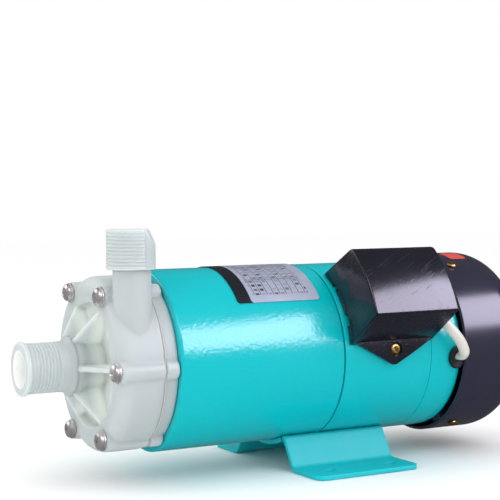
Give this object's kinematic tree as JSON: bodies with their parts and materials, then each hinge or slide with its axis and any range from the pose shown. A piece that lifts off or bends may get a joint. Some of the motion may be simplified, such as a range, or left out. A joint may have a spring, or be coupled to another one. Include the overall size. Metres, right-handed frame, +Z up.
{
  "type": "magnetic drive pump",
  "caption": "Small horizontal centrifugal pump: a ribbed plastic wet end with inlet and upright outlet, magnet-coupled to a fan-cooled motor on a bent sheet foot.",
  "frame": {"origin": "centre of the bounding box at its bottom, on the plane that the feet stand on", "axes": "+Z up, +X along the pump axis from the inlet towards the motor's fan cover, -Y the side with the outlet branch and the terminal box"},
  "size_m": [0.379, 0.172, 0.1714],
  "materials": {
    "casing_plastic": "natural moulded plastic, satin",
    "teal_paint": "glossy enamel",
    "black_plastic": "glossy moulding",
    "stainless": "bright turned",
    "steel": "satin",
    "dark_steel": "black oxide",
    "copper": "varnished winding wire",
    "magnet": "ground ferrite",
    "ceramic": "polished",
    "carbon": "filled bearing plastic",
    "rubber": "matt",
    "brass_plated": "yellow zinc plating",
    "cream": "satin",
    "lead_jacket": "satin flexible jacket",
    "plate": "satin printed plate"
  },
  "bodies": {
    "pump_body": {"front_casing": "casing_plastic", "mouth_ring": "ceramic", "casing_o_ring": "rubber", "rear_casing": "casing_plastic", "spindle": "ceramic", "front_thrust_ring": "ceramic", "rear_thrust_ring": "ceramic", "drive_bracket": "teal_paint", "stator_shell": "teal_paint", "stator_core": "steel", "front_winding": "copper", "rear_winding": "copper", "rear_end_bell": "teal_paint", "front_bearing_outer": "steel", "rear_bearing_outer": "steel", "bearing_wave_washer": "steel", "fan_cover": "black_plastic", "motor_base": "teal_paint", "terminal_box": "black_plastic", "terminal_box_screw": "brass_plated", "capacitor": "cream", "capacitor_clip": "steel", "terminal_block": "cream", "lead_grommet": "rubber", "cable_inlet": "rubber", "motor_lead": "lead_jacket", "nameplate": "plate", "casing_screw_1": "stainless", "casing_screw_2": "stainless", "casing_screw_3": "stainless", "casing_screw_4": "stainless", "casing_screw_5": "stainless", "casing_screw_6": "stainless", "through_bolt_1": "steel", "fan_cover_screw_1": "brass_plated", "base_screw_1": "steel", "through_bolt_2": "steel", "fan_cover_screw_2": "brass_plated", "base_screw_2": "steel", "through_bolt_3": "steel", "fan_cover_screw_3": "brass_plated", "base_screw_3": "steel", "through_bolt_4": "steel", "fan_cover_screw_4": "brass_plated", "base_screw_4": "steel"},
    "rotor": {"rotor_core": "steel", "motor_shaft": "steel", "drive_magnet_yoke": "steel", "drive_magnet_ring": "magnet", "yoke_set_screw": "dark_steel", "cooling_fan": "black_plastic", "fan_clip": "steel", "front_bearing_inner": "steel", "rear_bearing_inner": "steel"},
    "impeller": {"impeller": "casing_plastic", "magnet_capsule": "casing_plastic", "driven_yoke": "steel", "driven_magnet_ring": "magnet", "capsule_cover": "casing_plastic", "impeller_bush": "carbon"}
  },
  "joints": [
    {"name": "rotor_spin", "type": "hinge", "parent": "pump_body", "child": "rotor", "pos_m": [0.0575, 0.00848, 0.08], "axis": [1, 0, 0], "continuous": true},
    {"name": "impeller_spin", "type": "hinge", "parent": "pump_body", "child": "impeller", "pos_m": [-0.1025, 0.00848, 0.08], "axis": [1, 0, 0], "continuous": true}
  ],
  "couplings": [
    {"joint": "impeller_spin", "follows": "rotor_spin", "ratio": 1}
  ]
}
